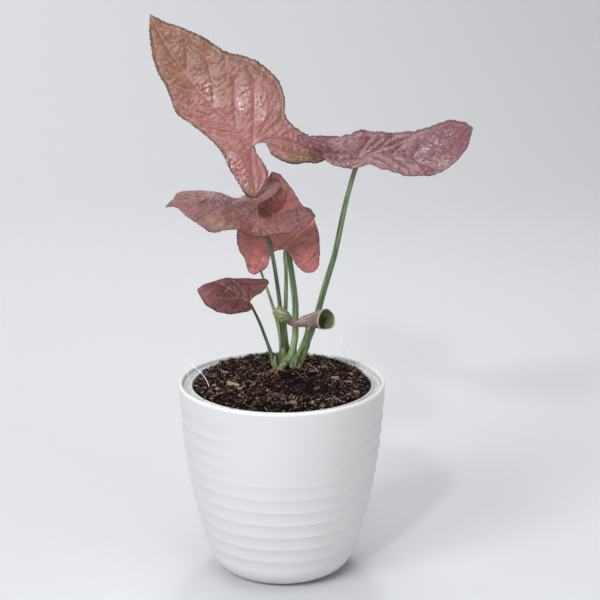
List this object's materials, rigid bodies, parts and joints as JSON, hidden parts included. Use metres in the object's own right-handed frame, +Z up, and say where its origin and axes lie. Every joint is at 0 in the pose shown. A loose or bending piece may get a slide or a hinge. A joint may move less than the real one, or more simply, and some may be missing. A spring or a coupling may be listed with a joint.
{
  "type": "potted arrowhead plant",
  "caption": "Young pink-leaved arrowhead plant on long green stalks in a lined white ribbed pot.",
  "frame": {"origin": "centre of the cover pot's base, on the surface it stands on", "axes": "+Z up the pot's axis, +Y away from the side the leaves face, +X to the right seen from that side"},
  "size_m": [0.2088, 0.136, 0.365],
  "materials": {
    "white_plastic": "satin",
    "milky_plastic": "satin, translucent",
    "peat": "matt, crumbly",
    "clear_nylon": "clear",
    "stem_green": "satin",
    "shoot_green": "satin",
    "leaf_a_pink": "glossy",
    "leaf_b_pink": "glossy",
    "leaf_c_pink": "glossy",
    "leaf_d_pink": "glossy",
    "leaf_e_pink": "glossy",
    "leaf_f_green": "satin"
  },
  "bodies": {
    "root": {"cover_pot": "white_plastic", "grow_pot": "milky_plastic", "potting_soil": "peat", "lift_loop_left": "clear_nylon", "lift_loop_right": "clear_nylon", "crown": "stem_green", "new_shoot": "shoot_green", "stalk_a": "stem_green", "stalk_b": "stem_green", "stalk_c": "stem_green", "stalk_d": "stem_green", "stalk_e": "stem_green", "stalk_f": "stem_green", "blade_a": "leaf_a_pink", "blade_b": "leaf_b_pink", "blade_c": "leaf_c_pink", "blade_d": "leaf_d_pink", "blade_e": "leaf_e_pink", "blade_f": "leaf_f_green"}
  },
  "joints": []
}
